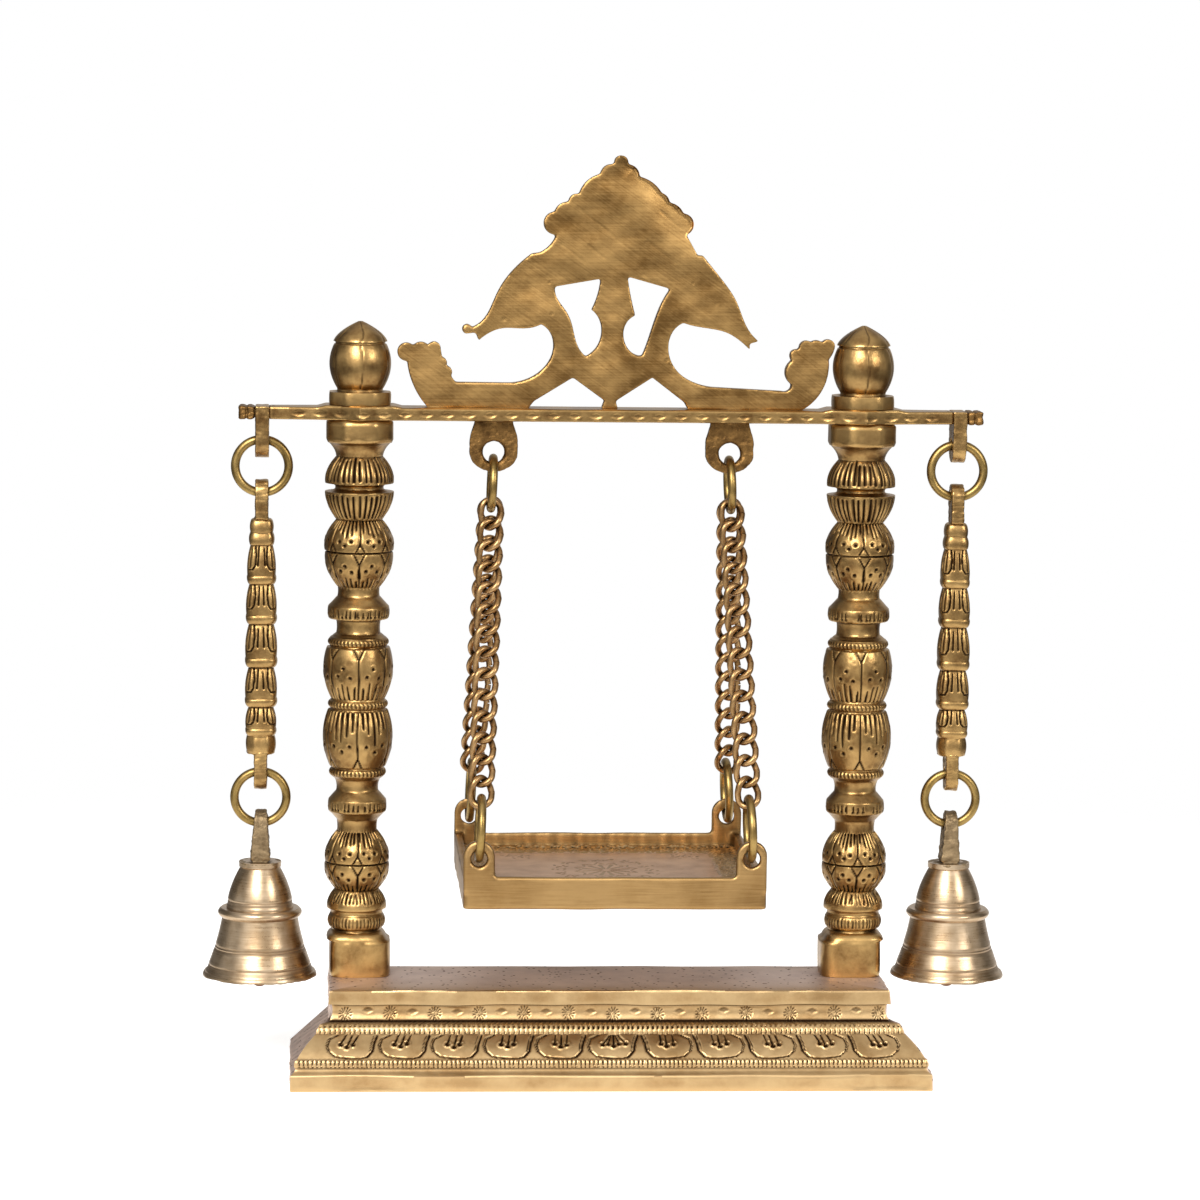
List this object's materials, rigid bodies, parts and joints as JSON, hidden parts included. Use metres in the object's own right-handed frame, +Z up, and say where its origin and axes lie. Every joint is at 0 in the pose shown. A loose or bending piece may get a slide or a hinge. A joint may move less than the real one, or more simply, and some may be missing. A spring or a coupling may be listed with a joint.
{
  "type": "jhoola swing",
  "caption": "Table-top brass swing: crossbar on turned pillars over a stepped base, with a tray seat on chains, a pierced peacock crest and hanging bells.",
  "frame": {"origin": "on the floor, midway between the pillars, in the plane of their axes", "axes": "+X to the right as seen from the front, +Z up, the front of the base faces -Y"},
  "size_m": [0.2678, 0.1034, 0.3022],
  "materials": {
    "cast_brass": "polished front, as-cast ends and top",
    "chased_brass": "polished and punched, dark in the recesses",
    "brushed_brass": "brushed",
    "dark_brass": "as cast, toned",
    "wire_brass": "drawn wire, toned",
    "bell_brass": "turned",
    "fastener_steel": "machined"
  },
  "bodies": {
    "frame": {"base": "cast_brass", "base_screws": "fastener_steel", "base_washers": "fastener_steel", "bell_strap_left": "chased_brass", "bell_strap_right": "chased_brass", "crest": "brushed_brass", "crossbar": "chased_brass", "end_knob_left": "chased_brass", "end_knob_right": "chased_brass", "finial_left": "chased_brass", "finial_right": "chased_brass", "pillar_left": "chased_brass", "pillar_right": "chased_brass", "swing_eye_left": "dark_brass", "swing_eye_right": "dark_brass", "top_studs": "fastener_steel"},
    "swing_rings": {"swing_ring_left": "wire_brass", "swing_ring_right": "wire_brass"},
    "chains_left": {"chain_front_left": "wire_brass", "chain_back_left": "wire_brass", "seat_ring_front_left": "wire_brass", "seat_ring_back_left": "wire_brass"},
    "chains_right": {"chain_front_right": "wire_brass", "chain_back_right": "wire_brass", "seat_ring_front_right": "wire_brass", "seat_ring_back_right": "wire_brass"},
    "seat": {"seat": "brushed_brass"},
    "upper_ring_left": {"upper_ring_left": "wire_brass"},
    "bead_bar_left": {"bead_bar_left": "chased_brass"},
    "lower_ring_left": {"lower_ring_left": "wire_brass"},
    "bell_left": {"bell_left": "bell_brass"},
    "clapper_left": {"clapper_left": "bell_brass"},
    "upper_ring_right": {"upper_ring_right": "wire_brass"},
    "bead_bar_right": {"bead_bar_right": "chased_brass"},
    "lower_ring_right": {"lower_ring_right": "wire_brass"},
    "bell_right": {"bell_right": "bell_brass"},
    "clapper_right": {"clapper_right": "bell_brass"}
  },
  "joints": [
    {"name": "swing", "type": "hinge", "parent": "frame", "child": "swing_rings", "pos_m": [0, 0, 0.1995], "axis": [1, 0, 0], "range_deg": [-45, 45]},
    {"name": "sway", "type": "hinge", "parent": "swing_rings", "child": "chains_left", "pos_m": [-0.03967, 0, 0.18634], "axis": [0, 1, 0], "range_deg": [-6, 6]},
    {"name": "sway_right", "type": "hinge", "parent": "swing_rings", "child": "chains_right", "pos_m": [0.03967, 0, 0.18634], "axis": [0, 1, 0], "range_deg": [-6.5, 6.5]},
    {"name": "seat_level", "type": "hinge", "parent": "chains_left", "child": "seat", "pos_m": [-0.0442, 0, 0.07653], "axis": [0, 1, 0], "range_deg": [-6, 6]},
    {"name": "upper_ring_swing_left", "type": "hinge", "parent": "frame", "child": "upper_ring_left", "pos_m": [-0.115, 0, 0.20805], "axis": [1, 0, 0], "range_deg": [-50, 50]},
    {"name": "bead_bar_swing_left", "type": "hinge", "parent": "upper_ring_left", "child": "bead_bar_left", "pos_m": [-0.115, 0, 0.1993], "axis": [0, 1, 0], "range_deg": [-0.6, 30]},
    {"name": "lower_ring_swing_left", "type": "hinge", "parent": "bead_bar_left", "child": "lower_ring_left", "pos_m": [-0.115, 0, 0.09795], "axis": [1, 0, 0], "range_deg": [-50, 50]},
    {"name": "bell_swing_left", "type": "hinge", "parent": "lower_ring_left", "child": "bell_left", "pos_m": [-0.115, 0, 0.08937], "axis": [0, 1, 0], "range_deg": [-1.4, 30]},
    {"name": "clapper_swing_left", "type": "hinge", "parent": "bell_left", "child": "clapper_left", "pos_m": [-0.115, 0, 0.0576], "axis": [1, 0, 0], "range_deg": [-20, 20]},
    {"name": "upper_ring_swing_right", "type": "hinge", "parent": "frame", "child": "upper_ring_right", "pos_m": [0.115, 0, 0.20805], "axis": [1, 0, 0], "range_deg": [-50, 50]},
    {"name": "bead_bar_swing_right", "type": "hinge", "parent": "upper_ring_right", "child": "bead_bar_right", "pos_m": [0.115, 0, 0.1993], "axis": [0, -1, 0], "range_deg": [-0.6, 30]},
    {"name": "lower_ring_swing_right", "type": "hinge", "parent": "bead_bar_right", "child": "lower_ring_right", "pos_m": [0.115, 0, 0.09795], "axis": [1, 0, 0], "range_deg": [-50, 50]},
    {"name": "bell_swing_right", "type": "hinge", "parent": "lower_ring_right", "child": "bell_right", "pos_m": [0.115, 0, 0.08937], "axis": [0, -1, 0], "range_deg": [-1.4, 30]},
    {"name": "clapper_swing_right", "type": "hinge", "parent": "bell_right", "child": "clapper_right", "pos_m": [0.115, 0, 0.0576], "axis": [1, 0, 0], "range_deg": [-20, 20]}
  ],
  "couplings": [
    {"joint": "sway_right", "follows": "sway", "ratio": 1},
    {"joint": "seat_level", "follows": "sway", "ratio": -0.89744}
  ]
}
